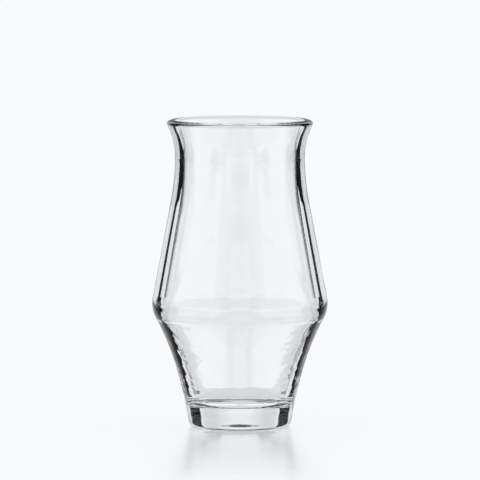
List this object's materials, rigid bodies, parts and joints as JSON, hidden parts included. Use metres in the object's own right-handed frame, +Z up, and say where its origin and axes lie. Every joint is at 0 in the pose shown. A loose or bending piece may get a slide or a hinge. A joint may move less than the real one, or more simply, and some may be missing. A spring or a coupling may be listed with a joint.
{
  "type": "stemless cognac glass",
  "caption": "Clear stemless cognac glass with a flared round lip, drawn-in neck, soft shoulder and a thick solid foot, for holding and nosing a drink.",
  "frame": {"origin": "middle of the resting ring, on the surface that the glass stands on", "axes": "+Z up along the axis that the glass is turned about, X and Y level and alike"},
  "size_m": [0.0698, 0.0698, 0.1222],
  "materials": {
    "clear_glass": "fire-polished clear glass"
  },
  "bodies": {
    "root": {"bowl": "clear_glass", "foot": "clear_glass"}
  },
  "joints": []
}
